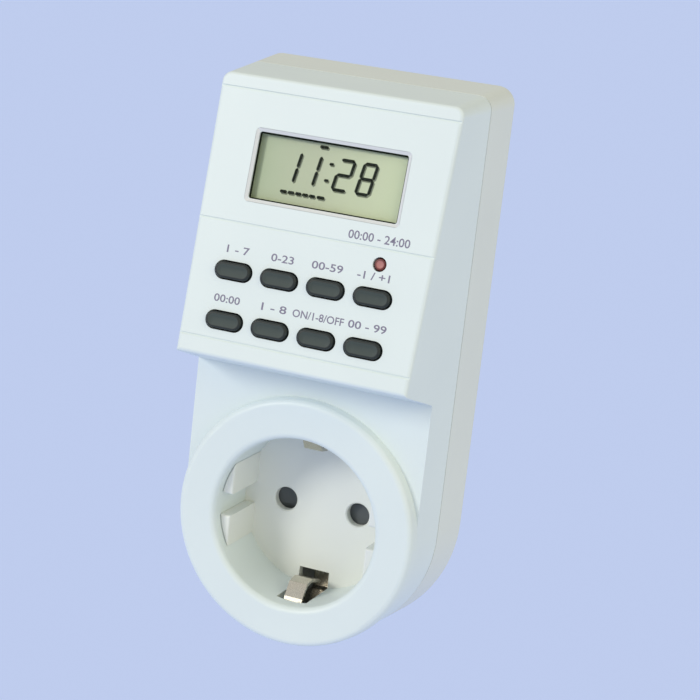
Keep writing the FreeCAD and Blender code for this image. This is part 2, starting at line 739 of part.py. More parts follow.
low_foot = cell_z - cell_radius - 3.2
low_tab = box(tab_low_x, tab_high_x, cell_lift - tab_thick, cell_lift, low_foot, cell_z + 3.0)
low_tab = low_tab.fuse(box(tab_low_x, tab_high_x, clock_back, cell_lift, low_foot, low_foot + 0.4))
tab_step = high_level + tab_thick
tab_top = tab_step + tab_thick
high_foot = cell_z + cell_radius + 1.8
high_tab = box(tab_low_x, tab_high_x, high_level, tab_step, cell_z - 3.0, cell_z + 3.6)
high_tab = high_tab.fuse(box(tab_low_x, tab_high_x, tab_step, tab_top, cell_z + 3.3, high_foot))
high_tab = high_tab.fuse(box(tab_low_x, tab_high_x, clock_back, tab_top, high_foot - tab_thick, high_foot))
cell_tabs = Part.makeCompound([on_face(low_tab), on_face(high_tab)])

# Keypad: mat with thin raised domes, one cap on each dome
mat_top = clock_board_depth - mat_thick
lip_front = wall + 0.3
lip_back = lip_front + key_lip_thick
mat_low = key_second_row + key_height - 0.4
mat_high = reset_row - reset_radius - 2.0
mat_back = clock_board_depth + 1
mat_half = 1.5 * key_pitch + key_length / 2 + 0.8
keypad_mat = box(key_x - mat_half, key_x + mat_half, mat_top, clock_board_depth, -mat_low, -mat_high)
for x, z in key_spots:
    dome = pill(key_length + 0.6, key_height + 1.2, lip_back, mat_top + 0.1, x, z)
    dome = dome.cut(pill(key_length - 0.2, key_height + 0.4, lip_back - 1, mat_top + 1, x, z))
    keypad_mat = keypad_mat.fuse(dome)
    keypad_mat = keypad_mat.cut(pill(key_length - 0.2, key_height + 0.4, mat_top - 0.1, mat_back, x, z))
reset_dome = rod(reset_radius + 1.0, lip_back, mat_top + 0.1, reset_x, -reset_row)
keypad_mat = keypad_mat.fuse(reset_dome)
keypad_mat = keypad_mat.cut(rod(reset_radius + 0.5, lip_back - 1, mat_back, reset_x, -reset_row))
for x, z in board_spots:
    keypad_mat = keypad_mat.cut(rod(board_post_radius + 0.4, 0, 12, x, z))
keypad_mat = keypad_mat.removeSplitter()
pill_back = lip_back + 0.5


def key_shape(x, z):
    cap = pill(key_length, key_height, -key_proud, lip_front + 0.1, x, z)
    cap = soften(cap, key_round, level_edges(cap, -key_proud))
    lip = pill(key_length + 2 * key_lip, key_height + 2 * key_lip, lip_front, lip_back, x, z)
    stem = pill(key_length - 3.0, key_height - 1.2, lip_back - 0.1, pill_back, x, z)
    return join([cap, lip, stem])


key_shapes = [key_shape(x, z) for x, z in key_spots]
reset_button = rod(reset_radius, reset_sunk, lip_front + 0.1, reset_x, -reset_row)
reset_button = soften(reset_button, 0.25, level_edges(reset_button, reset_sunk))
reset_button = join([reset_button, rod(reset_radius + 0.7, lip_front, lip_back, reset_x, -reset_row),
                     rod(reset_radius - 0.5, lip_back - 0.1, pill_back, reset_x, -reset_row)])

# Plug pins and contacts
pins = []
head_back = -plug_end_wall - 1.2
stub_end = head_back - 4.2
for side in (-1, 1):
    x = side * pin_x
    shaft = rod(pin_radius, 0, pin_length, x)
    shaft = soften(shaft, 1.1, level_edges(shaft, pin_length))
    shaft = shaft.fuse(rod(pin_root, -plug_end_wall, 0, x))
    reach = stub_end if side < 0 else head_back - 3.5
    pins.append(join([shaft, rod(3.6, head_back, -plug_end_wall, x), rod(1.8, reach, head_back + 0.1, x)]))
carrier_back = head_back - 2.8
carrier = rod(14.0, carrier_back, head_back).common(box(-14.5, 14.5, -30, 0, -9.0, 9.0))
carrier = soften(carrier, 0.5, [e for e in carrier.Edges if e.BoundBox.YLength > 2.7])
for side in (-1, 1):
    carrier = carrier.cut(rod(1.85, carrier_back - 1, head_back + 1, side * pin_x))
carrier = carrier.fuse(box(-2.4, 2.4, carrier_back - 3.4, carrier_back + 0.1, -9.0, -7.6))
carrier = carrier.fuse(box(-2.4, 2.4, carrier_back - 3.4, carrier_back + 0.1, 7.6, 9.0))
contact_front = shutter_back + 0.5


def contact_tube(x, base_y, bore):
    outer = contact_inner + contact_wall
    profile = [
        (contact_inner + 0.5, contact_front),
        (outer + 0.5, contact_front),
        (outer, contact_front + 1.4),
        (outer, base_y),
        (contact_inner, base_y),
        (contact_inner, contact_front + 1.4),
    ]
    tube = turned(profile)
    tube = tube.cut(box(-0.5, 0.5, contact_front - 1, base_y - 2.5, -5, 5))
    tube.translate(Vec(x, 0, 0))
    base = rod(3.4, base_y - 0.1, base_y + strip_thick, x)
    if bore:
        base = base.cut(rod(bore, base_y - 1, base_y + 2, x))
    return tube.fuse(base)


neutral_base = carrier_back - strip_thick
live_strip_back = carrier_back
live_strip_front = carrier_back - 0.7
washer_front = live_strip_front - 2.0
live_base = washer_front - strip_thick
tail_x = 2.0
tail_end = 11.0
neutral_contact = contact_tube(-pin_x, neutral_base, 1.82)
neutral_tail = box(-pin_x - tail_x, -pin_x + tail_x, neutral_base, neutral_base + strip_thick, 2.6, tail_end)
neutral_contact = join([neutral_contact, neutral_tail])
live_contact = contact_tube(pin_x, live_base, 0)
live_tail = box(pin_x - tail_x, pin_x + tail_x, live_base, live_base + strip_thick, 2.6, tail_end)
live_contact = join([live_contact, live_tail])
live_strip = rod(3.4, live_strip_front, live_strip_back, pin_x)
live_strip = live_strip.cut(rod(1.82, live_strip_front - 1, 0, pin_x))
live_strip = live_strip.fuse(box(pin_x - tail_x, pin_x + tail_x, live_strip_front, live_strip_back,
                                 -tail_end, -2.6))
washer = rod(3.8, washer_front, live_strip_front, pin_x)

# Earth path: sprung clips in the recess, bar behind the floor, side strips on the plug
arm_z = cup_outer + 0.3 + strip_thick / 2
bar_mid = bar_front + strip_thick / 2
clip_points = [
    (floor_y - 1.2, recess_radius - 2.1),
    (floor_y - 2.6, recess_radius - 2.8),
    (floor_y - 6.6, recess_radius - 3.9),
    (floor_y - 9.4, recess_radius - 3.4),
    (slot_front + 1.5, recess_radius - 0.4),
    (slot_front + 0.9, recess_radius + 1.2),
    (slot_front + 1.5, arm_z - 0.5),
    (slot_front + 2.6, arm_z),
    (bar_mid - 0.8, arm_z),
    (bar_mid, arm_z - 0.8),
    (bar_mid, 0.0),
]
loop = clip_points + [(y, -z) for y, z in clip_points[-2::-1]]
socket_earth = strip(loop, strip_thick, clip_width / 2)
plug_bar_mid = bar_mid + strip_thick
leg_points = [
    (-1.4, 16.9),
    (-4.0, 17.4),
    (-8.5, 17.9),
    (-13.0, 17.2),
    (rear_y - 0.5, 16.9),
    (plug_bar_mid + 0.6, 16.9),
    (plug_bar_mid, 16.3),
    (plug_bar_mid, 0.0),
]
leg_loop = leg_points + [(y, -z) for y, z in leg_points[-2::-1]]
plug_earth = strip(leg_loop, strip_thick, earth_width / 2)
earth_rivets = []
for z in (-11.5, 11.5):
    socket_earth = socket_earth.cut(rod(1.0, bar_front - 2, bar_front + 5, 0, z))
    plug_earth = plug_earth.cut(rod(1.0, bar_front - 2, bar_front + 5, 0, z))
    rivet = join([rod(1.0, bar_front - 0.1, bar_front + 2 * strip_thick + 0.1, 0, z),
                  rod(1.7, bar_front - 0.6, bar_front, 0, z),
                  rod(1.7, bar_front + 2 * strip_thick, bar_front + 2 * strip_thick + 0.6, 0, z)])
    earth_rivets.append(rivet)

# Power board and its parts
power_back = stand_y
power_front = power_back - board_thick
power_mid = (power_board_low + power_board_high) / 2
power_board = plate(2 * power_board_half, power_board_high - power_board_low, 1.0, power_front, power_back,
                    0, power_mid)
for x, z in power_spots:
    power_board = power_board.cut(rod(board_screw_radius + 0.2, power_front - 1, power_back + 1, x, z))
power_board = power_board.cut(box(-3, 3, power_front - 1, power_back + 1,
                                  power_board_low - 1, power_board_low + 3))
power_screws = []
for x, z in power_spots:
    shank = rod(board_screw_radius, power_front, power_back + 3.0, x, z)
    head = rod(board_screw_head, power_front - 1.1, power_front, x, z)
    head = head.cut(box(x - 0.25, x + 0.25, power_front - 2, power_front - 0.6, z - 1.1, z + 1.1))
    head = head.cut(box(x - 1.1, x + 1.1, power_front - 2, power_front - 0.6, z - 0.25, z + 0.25))
    power_screws.append(shank.fuse(head))


def packed(width, height, depth, x, z, radius):
    body = box(x - width / 2, x + width / 2, power_front - depth, power_front - 0.3,
               z - height / 2, z + height / 2)
    body = soften(body, radius, [e for e in body.Edges if e.BoundBox.YMin < power_front - 0.35])
    for sx in (-1, 1):
        for sz in (-1, 1):
            foot = box(-0.4, 0.4, 0, 0.4, -0.4, 0.4)
            foot.translate(Vec(x + sx * (width / 2 - 1.5), power_front - 0.4, z + sz * (height / 2 - 1.5)))
            body = body.fuse(foot)
    return body


relay = packed(relay_width, relay_height, relay_depth, 0.0, power_board_low + relay_rise, 0.7)
film_capacitor = packed(film_width, film_height, film_depth, film_x, power_board_low + film_rise, 0.8)
can_front = power_front - can_length
can_z = power_board_low + can_rise
groove = can_radius - 1.3
groove_back = can_front + 0.25
smoothing_capacitor = rod(can_radius, can_front, power_front, can_x, can_z)
smoothing_capacitor = smoothing_capacitor.cut(box(can_x - 0.2, can_x + 0.2, can_front - 1, groove_back,
                                                  can_z - groove, can_z + groove))
smoothing_capacitor = smoothing_capacitor.cut(box(can_x - groove, can_x + groove, can_front - 1, groove_back,
                                                  can_z - 0.2, can_z + 0.2))
resistors = []
for step in range(2):
    row = power_board_low + resistor_rise + resistor_pitch * step
    level = power_front - resistor_radius - 0.1
    near = resistor_x - resistor_span / 2
    far = resistor_x + resistor_span / 2
    body_end = Vec(resistor_x - resistor_length / 2, level, row)
    body = Part.makeCylinder(resistor_radius, resistor_length, body_end, Vec(1, 0, 0))
    wire = lead([(near, power_front, row), (near, level, row), (far, level, row), (far, power_front, row)],
                wire_radius)
    resistors.append(join([body, wire]))
diodes = []
for step in range(4):
    x = diode_x + diode_pitch * step
    level = power_front - diode_radius - 0.1
    middle_z = power_board_low + diode_rise
    low = middle_z - diode_span / 2
    high = middle_z + diode_span / 2
    body_end = Vec(x, level, middle_z - diode_length / 2)
    body = Part.makeCylinder(diode_radius, diode_length, body_end, Vec(0, 0, 1))
    wire = lead([(x, power_front, low), (x, level, low), (x, level, high), (x, power_front, high)],
                wire_radius)
    diodes.append(join([body, wire]))

# Leads and ribbon
lead_radius = 0.9
lead_top = power_board_low + 4.6
lead_y = power_back + lead_radius
turn_y = rear_inner - 2.4
neutral_end = neutral_base - lead_radius
live_end = live_base - lead_radius
strip_end = live_strip_front - lead_radius
neutral_lead = lead([(-pin_x, neutral_end, tail_end - 1.2), (-pin_x, turn_y, 11.6), (-pin_x, lead_y, 20.0),
                     (-pin_x, lead_y, lead_top)], lead_radius)
switched_lead = lead([(pin_x, live_end, tail_end - 1.2), (pin_x, turn_y, 11.6), (pin_x, lead_y, 20.0),
                      (pin_x, lead_y, lead_top)], lead_radius)
mains_lead = lead([(pin_x, strip_end, 1.2 - tail_end), (pin_x, turn_y, 1.2 - tail_end), (17.5, turn_y, -8.0),
                   (20.5, turn_y, 0.0), (20.5, turn_y, 22.0), (14.5, lead_y, 34.0),
                   (14.5, lead_y, lead_top)], lead_radius)
ribbon_start = face_point(0, clock_back + 0.4, 52.0)
ribbon_turn = face_point(0, clock_back + 3.0, 50.0)
ribbon_points = [
    (ribbon_start[1], ribbon_start[2]),
    (ribbon_turn[1], ribbon_turn[2]),
    (ribbon_turn[1] + 2.0, ribbon_turn[2] + 14.0),
    (power_front - 6.0, 86.6),
    (power_front - 1.2, 87.4),
    (power_front - 0.5, 87.0),
    (power_front - 0.25, 84.4),
]
ribbon_cable = strip(ribbon_points, 0.5, 4.5, -12.0)

# Case screws
case_screws = []
for x, z in post_spots:
    head_top = screw_seat + screw_head_thick
    head = rod(screw_head, screw_seat, head_top, x, z)
    head = head.cut(box(x - 1.7, x + 1.7, head_top - 0.8, head_top + 1, z - 0.35, z + 0.35))
    head = head.cut(box(x - 0.35, x + 0.35, head_top - 0.8, head_top + 1, z - 1.7, z + 1.7))
    shank = rod(screw_radius, screw_end, screw_seat + 0.1, x, z)
    tip = taper(0.3, screw_radius, screw_tip, screw_end, x, z)
    case_screws.append(join([head, shank, tip]))

pieces = {
    "front_shell": front_shell,
    "rear_shell": rear_shell,
    "socket_insert": socket_insert,
    "shutter": shutter,
    "shutter_spring": shutter_spring,
    "display_window": on_face(display_window),
    "display_glass": on_face(display_glass),
    "display_frame": on_face(display_frame),
    "contact_strips": on_face(contact_strips),
    "clock_board": on_face(clock_board),
    "clock_board_screws": Part.makeCompound(board_screws),
    "clock_chip": on_face(chip_cap),
    "clock_crystal": on_face(crystal),
    "backup_cell": on_face(backup_cell),
    "cell_tabs": cell_tabs,
    "keypad_mat": on_face(keypad_mat),
    "reset_button": on_face(reset_button),
    "plug_pin_left": pins[0],
    "plug_pin_right": pins[1],
    "contact_carrier": carrier,
    "neutral_contact": neutral_contact,
    "live_contact": live_contact,
    "live_strip": live_strip,
    "contact_washer": washer,
    "socket_earth": socket_earth,
    "plug_earth": plug_earth,
    "earth_rivets": Part.makeCompound(earth_rivets),
    "power_board": power_board,
    "power_board_screws": Part.makeCompound(power_screws),
    "relay": relay,
    "film_capacitor": film_capacitor,
    "smoothing_capacitor": smoothing_capacitor,
    "resistors": Part.makeCompound(resistors),
    "diodes": Part.makeCompound(diodes),
    "neutral_lead": neutral_lead,
    "switched_lead": switched_lead,
    "mains_lead": mains_lead,
    "ribbon_cable": ribbon_cable,
    "case_screws": Part.makeCompound(case_screws),
}
for number, shape in enumerate(key_shapes):
    pieces["key_%d" % (number + 1)] = on_face(shape)
for name, shape in pieces.items():
    shape.exportStep("parts/%s.step" % name)
    size = shape.BoundBox
    spans = (size.XMin, size.XMax, size.YMin, size.YMax, size.ZMin, size.ZMax)
    state = (name, len(shape.Solids), shape.isValid())
    print("%-22s solids %d valid %s  x %.1f..%.1f y %.1f..%.1f z %.1f..%.1f" % (state + spans))
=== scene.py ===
import math

import bpy
from mathutils import Matrix, Vector


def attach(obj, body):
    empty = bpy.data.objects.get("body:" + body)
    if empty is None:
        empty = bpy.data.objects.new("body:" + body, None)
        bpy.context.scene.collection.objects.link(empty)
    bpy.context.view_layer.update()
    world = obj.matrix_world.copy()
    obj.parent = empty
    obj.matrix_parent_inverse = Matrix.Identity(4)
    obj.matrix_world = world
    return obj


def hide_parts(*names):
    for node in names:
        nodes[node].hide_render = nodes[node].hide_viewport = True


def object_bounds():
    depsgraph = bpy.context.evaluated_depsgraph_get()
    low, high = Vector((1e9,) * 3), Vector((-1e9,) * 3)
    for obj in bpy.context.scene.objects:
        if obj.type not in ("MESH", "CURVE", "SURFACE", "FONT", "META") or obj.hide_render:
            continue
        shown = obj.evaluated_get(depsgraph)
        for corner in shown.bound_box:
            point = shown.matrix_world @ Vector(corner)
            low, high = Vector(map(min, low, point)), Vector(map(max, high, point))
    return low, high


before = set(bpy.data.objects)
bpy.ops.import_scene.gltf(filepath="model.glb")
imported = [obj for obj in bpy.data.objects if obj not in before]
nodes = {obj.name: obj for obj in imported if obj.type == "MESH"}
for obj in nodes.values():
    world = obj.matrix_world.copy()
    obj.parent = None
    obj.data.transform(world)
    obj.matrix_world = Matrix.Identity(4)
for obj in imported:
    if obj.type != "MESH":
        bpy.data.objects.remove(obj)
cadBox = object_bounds()
print("frame loaded:", len(nodes), "nodes")

mm = 0.001

# camera, lights and surroundings
cameraPlace = {
    "spot": (0.17467, -0.48081, 0.15196),
    "turn": (76.8259, -6.4017, 22.3799),   # degrees
    "lens": 107.402,
    "sensor": 36.0,
}
lightPlan = {
    "windowLight": {
        "from": (-0.58, -0.8, 0.4), "strength": 1.28,
        "softness": 18.0, "tint": (1.0, 0.99, 0.92),   # degrees
    },
    "fillLight": {
        "from": (0.88, -0.36, 0.3), "strength": 1.0,
        "softness": 60.0, "tint": (1.0, 0.91, 0.52),
    },
    "sky": (0.97, 1.0, 1.03),
    "skyStrength": 0.48,
}
# drop is how far the floor lies below the part; glow evens out its colour
floorPlan = {"size": 60.0, "drop": 0.9, "colour": (0.66, 0.77, 0.95), "glow": (0.045, 0.05, 0.2)}


def addCamera(plan):
    data = bpy.data.cameras.new("camera")
    data.lens = plan["lens"]
    data.sensor_width = plan["sensor"]
    camera = bpy.data.objects.new("camera", data)
    camera.location = plan["spot"]
    camera.rotation_euler = [math.radians(v) for v in plan["turn"]]
    bpy.context.scene.collection.objects.link(camera)
    bpy.context.scene.camera = camera


def addLight(name, plan):
    # broad, even light that falls the same on floor and part
    data = bpy.data.lights.new(name, "SUN")
    data.energy = plan["strength"]
    data.angle = math.radians(plan["softness"])
    data.color = plan["tint"]
    lamp = bpy.data.objects.new(name, data)
    lamp.rotation_euler = Vector(plan["from"]).to_track_quat("Z", "Y").to_euler()
    bpy.context.scene.collection.objects.link(lamp)


def addSky(colour, strength):
    world = bpy.data.worlds.new("sky")
    world.use_nodes = True
    world.node_tree.nodes["Background"].inputs["Color"].default_value = (*colour, 1.0)
    world.node_tree.nodes["Background"].inputs["Strength"].default_value = strength
    bpy.context.scene.world = world


addCamera(cameraPlace)
addLight("windowLight", lightPlan["windowLight"])
addLight("fillLight", lightPlan["fillLight"])
addSky(lightPlan["sky"], lightPlan["skyStrength"])
bpy.context.scene.view_settings.view_transform = "Standard"
print("camera and lights placed")


# a shader value that takes plain sums, so that materials read like formulas
class Wire:
    def __init__(self, paint, node, output=0):
        self.paint = paint
        self.node = node
        self.socket = node.outputs[output]

    def out(self, output):
        return Wire(self.paint, self.node, output)

    def math(self, operation, first, second=0.0):
        return self.paint.node("ShaderNodeMath", {"operation": operation}, {0: first, 1: second})

    def __add__(self, other):
        return self.math("ADD", self, other)

    __radd__ = __add__

    def __mul__(self, other):
        return self.math("MULTIPLY", self, other)

    __rmul__ = __mul__

    def __truediv__(self, other):
        return self.math("DIVIDE", self, other)

    def __pow__(self, other):
        return self.math("POWER", self, other)


class Paint:
    def __init__(self, name, colour, roughness, **constants):
        self.material = bpy.data.materials.new(name)
        self.material.use_nodes = True
        self.tree = self.material.node_tree
        self.tree.nodes.clear()
        self.shader = self.tree.nodes.new("ShaderNodeBsdfPrincipled")
        end = self.tree.nodes.new("ShaderNodeOutputMaterial")
        self.tree.links.new(self.shader.outputs["BSDF"], end.inputs["Surface"])
        self.feed("Base Color", (*colour, 1.0))
        self.feed("Roughness", roughness)
        for socketName, value in constants.items():
            self.feed(socketName.replace("_", " "), value)
        self.place = self.node("ShaderNodeTexCoord").out("Object")

    def node(self, kind, settings=None, inputs=None):
        made = self.tree.nodes.new(kind)
        for name, value in (settings or {}).items():
            if name == "stops":
                ramp = made.color_ramp
                while len(ramp.elements) < len(value):
                    ramp.elements.new(0.5)
                for element, (position, colour) in zip(ramp.elements, value):
                    element.position = position
                    element.color = (*colour, 1.0)
            else:
                setattr(made, name, value)
        for name, value in (inputs or {}).items():
            self.join(made.inputs[name], value)
        return Wire(self, made)

    def join(self, socket, value):
        if isinstance(value, Wire):
            self.tree.links.new(value.socket, socket)
        else:
            socket.default_value = value

    def feed(self, name, value):
        self.join(self.shader.inputs[name], value)
        return self

    def noise(self, scale, detail=2.0, roughness=0.5, place=None):
        settings = {"noise_dimensions": "3D"}
        inputs = {"Vector": place or self.place, "Scale": scale,
                  "Detail": detail, "Roughness": roughness}
        return self.node("ShaderNodeTexNoise", settings, inputs)

    def stretched(self, scale, turn=(0.0, 0.0, 0.0)):
        inputs = {"Vector": self.place, "Scale": scale, "Rotation": turn}
        return self.node("ShaderNodeMapping", {}, inputs)

    def ramp(self, value, stops):
        return self.node("ShaderNodeValToRGB", {"stops": stops}, {"Fac": value})

    def mix(self, share, first, second):
        flat = [(*c, 1.0) if isinstance(c, tuple) else c for c in (first, second)]
        made = self.node("ShaderNodeMix", {"data_type": "RGBA"}, {0: share, 6: flat[0], 7: flat[1]})
        return made.out(2)

    def bump(self, height, distance, strength=1.0):
        inputs = {"Height": height, "Distance": distance, "Strength": strength}
        return self.feed("Normal", self.node("ShaderNodeBump", {}, inputs))


def scaled(colour, share):
    return tuple(min(c * share, 1.0) for c in colour)


def mouldedPlastic(name, colour, grain=2600.0, depth=0.004, gloss=0.42, tone=0.05):
    # satin moulded plastic: fine spark grain, slow drift of tone, polish a little uneven
    paint = Paint(name, colour, gloss, IOR=1.5)
    drift = paint.noise(38.0, 3.0)
    fine = paint.noise(grain, 2.0, 0.6)
    warm = scaled((colour[0] * 1.005, colour[1], colour[2] * 0.985), 1.0 + tone * 0.4)
    paint.feed("Base Color", paint.mix(drift, scaled(colour, 1.0 - tone), warm))
    paint.feed("Roughness", gloss - 0.06 + 0.08 * drift + 0.05 * fine)
    paint.bump(fine, depth * mm, 0.5)
    return paint


def mouldedRubber(name, colour, gloss=0.55):
    # silicone: soft mottle, fine bloom on the surface
    paint = Paint(name, colour, gloss, IOR=1.4)
    drift = paint.noise(260.0, 3.0)
    fine = paint.noise(5200.0, 2.0, 0.6)
    paint.feed("Base Color", paint.mix(drift, scaled(colour, 0.86), scaled(colour, 1.14)))
    paint.feed("Roughness", gloss - 0.05 + 0.12 * fine)
    paint.bump(fine, 0.006 * mm, 0.7)
    return paint


def platedMetal(name, colour, roughness=0.24, along="y", stain=1.0):
    # fine draw marks along one axis, with faint tarnish
    paint = Paint(name, colour, roughness, Metallic=1.0)
    stretch = [60.0 if axis == along else 4200.0 for axis in "xyz"]
    marks = paint.noise(1.0, 3.0, 0.6, paint.stretched(stretch))
    tarnish = paint.noise(170.0, 4.0, 0.6)
    dull = (colour[0] * 0.8, colour[1] * 0.74, colour[2] * 0.66)
    paint.feed("Base Color", paint.mix(tarnish ** 2.2 * stain, colour, dull))
    paint.feed("Roughness", roughness - 0.06 + 0.16 * marks + 0.08 * tarnish)
    paint.bump(marks, 0.002 * mm, 0.6)
    return paint


def circuitBoard(name, colour, trace):
    # solder mask over copper runs
    paint = Paint(name, colour, 0.35, IOR=1.5)
    runs = paint.node("ShaderNodeTexBrick", {"offset": 0.35}, {
        "Vector": paint.stretched((1.0, 1.0, 1.0), (math.radians(90.0), 0.0, 0.0)), "Scale": 210.0,
        "Mortar Size": 0.035, "Brick Width": 1.7, "Row Height": 0.55})
    copper = runs.out("Fac")
    drift = paint.noise(60.0, 2.0)
    base = paint.mix(drift, scaled(colour, 0.85), scaled(colour, 1.15))
    paint.feed("Base Color", paint.mix(copper * 0.6, base, trace))
    paint.feed("Roughness", 0.32 + 0.1 * drift)
    paint.bump(copper, 0.03 * mm, 0.5)
    return paint


def clearLens(name):
    # hard clear window, thin enough to leave the display its colours
    paint = Paint(name, (0.8, 0.86, 0.8), 0.06, IOR=1.49, Alpha=0.008)
    drift = paint.noise(90.0, 2.0)
    paint.feed("Roughness", 0.05 + 0.05 * drift)
    paint.bump(drift, 0.02 * mm, 0.3)
    paint.material.surface_render_method = "DITHERED"
    return paint


def displayBack(name):
    # olive reflector with a fine grain; the ramp, darker and greener at the left and paler at the right,
    # is painted shading across the display
    paint = Paint(name, (0.55, 0.62, 0.4), 0.5, IOR=1.4)
    split = paint.node("ShaderNodeSeparateXYZ", {}, {0: paint.place})
    across = split.out("X") / (36.0 * mm) + 0.5
    cloud = paint.noise(70.0, 2.0)
    # painted shading: darker and greener towards the left, paler towards the right
    tone = paint.ramp(across * 0.75 + cloud * 0.3, [
        (0.05, (0.39, 0.48, 0.3)),
        (0.45, (0.5, 0.54, 0.37)),
        (0.75, (0.61, 0.67, 0.44)),
        (1.0, (0.64, 0.72, 0.45)),
    ])
    grain = paint.noise(7000.0, 2.0, 0.7)
    paint.feed("Base Color", paint.mix(grain * 0.3, tone, (0.5, 0.55, 0.39)))
    paint.bump(grain, 0.004 * mm, 0.5)
    return paint


def displayInk(name):
    # lit liquid crystal: nearly black, with no sheen
    paint = Paint(name, (0.012, 0.015, 0.01), 0.6, Specular_IOR_Level=0.0)
    fade = paint.noise(900.0, 1.0)
    paint.feed("Base Color", paint.mix(fade, (0.008, 0.011, 0.007), (0.022, 0.027, 0.018)))
    return paint


def displayShade(name):
    # the soft shadow that lit figures throw on the reflector behind them
    paint = Paint(name, (0.1, 0.12, 0.08), 0.8, Alpha=0.3)
    cloud = paint.noise(600.0, 1.0)
    paint.feed("Base Color", paint.mix(cloud, (0.08, 0.1, 0.06), (0.13, 0.15, 0.1)))
    paint.material.surface_render_method = "DITHERED"
    return paint


def printedInk(name, colour):
    # pad printed legend, thin and slightly broken at its edges
    paint = Paint(name, colour, 0.5)
    worn = paint.noise(2600.0, 3.0, 0.7)
    paint.feed("Base Color", paint.mix(worn, scaled(colour, 0.8), scaled(colour, 1.3)))
    paint.bump(worn, 0.003 * mm, 0.5)
    return paint


# every finish of the part
paints = {
    "caseFront": mouldedPlastic("caseFront", (0.79, 0.86, 0.85)),
    "caseRear": mouldedPlastic("caseRear", (0.78, 0.81, 0.765), 2200.0, 0.006, 0.48, 0.06),
    # the lip is the face's plastic painted greyer: painted shade for the band round the window
    "windowLipShade": mouldedPlastic("windowLipShade", (0.78, 0.785, 0.785), 2200.0, 0.006, 0.5),
    "insert": mouldedPlastic("insert", (0.86, 0.875, 0.82), 2600.0, 0.004, 0.45),
    # dark grey: partly the shutter's own plastic, partly painted shade from down in the contact holes
    "shutter": mouldedPlastic("shutter", (0.09, 0.10, 0.1), 3000.0, 0.005, 0.5, 0.12),
    "holder": mouldedPlastic("holder", (0.78, 0.8, 0.77)),
    "lens": clearLens("lens"),
    "displayBack": displayBack("displayBack"),
    "displayInk": displayInk("displayInk"),
    "displayShade": displayShade("displayShade"),
    "keyDish": mouldedRubber("keyDish", (0.05, 0.066, 0.061)),
    # darker than the dish: painted shade on the sloping rim and in the gap round each key cap
    "keyRimShade": mouldedRubber("keyRimShade", (0.022, 0.028, 0.027), 0.45),
    "keyMat": mouldedRubber("keyMat", (0.05, 0.055, 0.055)),
    "resetDish": mouldedRubber("resetDish", (0.48, 0.2, 0.18), 0.45),
    # dark red: painted shade on the button's rim and in the gap round it
    "resetRimShade": mouldedRubber("resetRimShade", (0.16, 0.035, 0.03), 0.4),
    "legend": printedInk("legend", (0.21, 0.19, 0.27)),
    "pin": platedMetal("pin", (0.78, 0.77, 0.74), 0.2, "y"),
    "spring": platedMetal("spring", (0.66, 0.66, 0.66), 0.22, "z"),
    "earth": platedMetal("earth", (0.60, 0.57, 0.50), 0.2, "z", 1.6),
    "screw": platedMetal("screw", (0.66, 0.67, 0.68), 0.3, "x"),
    "brass": platedMetal("brass", (0.78, 0.57, 0.25), 0.28, "z"),
    "boardGreen": circuitBoard("boardGreen", (0.03, 0.19, 0.07), (0.10, 0.32, 0.11)),
    "boardBrown": circuitBoard("boardBrown", (0.38, 0.24, 0.1), (0.5, 0.34, 0.16)),
    "resin": mouldedPlastic("resin", (0.02, 0.02, 0.02), 600.0, 0.03, 0.25, 0.2),
    "carrier": mouldedPlastic("carrier", (0.035, 0.035, 0.035), 2600.0, 0.006, 0.5, 0.2),
    "fibre": mouldedPlastic("fibre", (0.36, 0.13, 0.08), 1400.0, 0.02, 0.7, 0.2),
    "relay": mouldedPlastic("relay", (0.03, 0.045, 0.09), 2400.0, 0.004, 0.35, 0.15),
    "filmBox": mouldedPlastic("filmBox", (0.72, 0.53, 0.06), 1800.0, 0.005, 0.3, 0.1),
    "sleeve": mouldedPlastic("sleeve", (0.03, 0.035, 0.06), 2000.0, 0.004, 0.28, 0.15),
    "resistor": mouldedPlastic("resistor", (0.62, 0.48, 0.3), 1600.0, 0.01, 0.4, 0.15),
    "diode": mouldedPlastic("diode", (0.03, 0.03, 0.03), 2200.0, 0.006, 0.35, 0.2),
    "stripRubber": mouldedRubber("stripRubber", (0.6, 0.42, 0.42), 0.6),
    "leadBlue": mouldedPlastic("leadBlue", (0.04, 0.14, 0.5), 1500.0, 0.006, 0.35, 0.1),
    "leadBlack": mouldedPlastic("leadBlack", (0.025, 0.025, 0.025), 1500.0, 0.006, 0.35, 0.2),
    "leadBrown": mouldedPlastic("leadBrown", (0.19, 0.08, 0.035), 1500.0, 0.006, 0.35, 0.1),
    "ribbon": mouldedPlastic("ribbon", (0.5, 0.51, 0.52), 1500.0, 0.006, 0.45, 0.1),
}
# which finish each CAD node takes
nodePaint = {
    "front_shell": "caseFront", "rear_shell": "caseRear", "socket_insert": "insert", "shutter": "shutter",
    "shutter_spring": "spring", "display_window": "lens", "display_glass": "displayBack",
    "display_frame": "holder", "contact_strips": "stripRubber", "clock_board": "boardGreen",
    "clock_board_screws": "screw", "clock_chip": "resin", "clock_crystal": "screw", "backup_cell": "screw",
    "cell_tabs": "earth", "keypad_mat": "keyMat", "reset_button": "resetDish", "plug_pin_left": "pin",
    "plug_pin_right": "pin", "contact_carrier": "carrier", "neutral_contact": "brass",
    "live_contact": "brass", "live_strip": "brass", "contact_washer": "fibre", "socket_earth": "earth",
    "plug_earth": "earth", "earth_rivets": "screw", "power_board": "boardBrown",
    "power_board_screws": "screw", "relay": "relay", "film_capacitor": "filmBox",
    "smoothing_capacitor": "sleeve", "resistors": "resistor", "diodes": "diode",
    "neutral_lead": "leadBlue", "switched_lead": "leadBlack", "mains_lead": "leadBrown",
    "ribbon_cable": "ribbon", "case_screws": "screw",
}
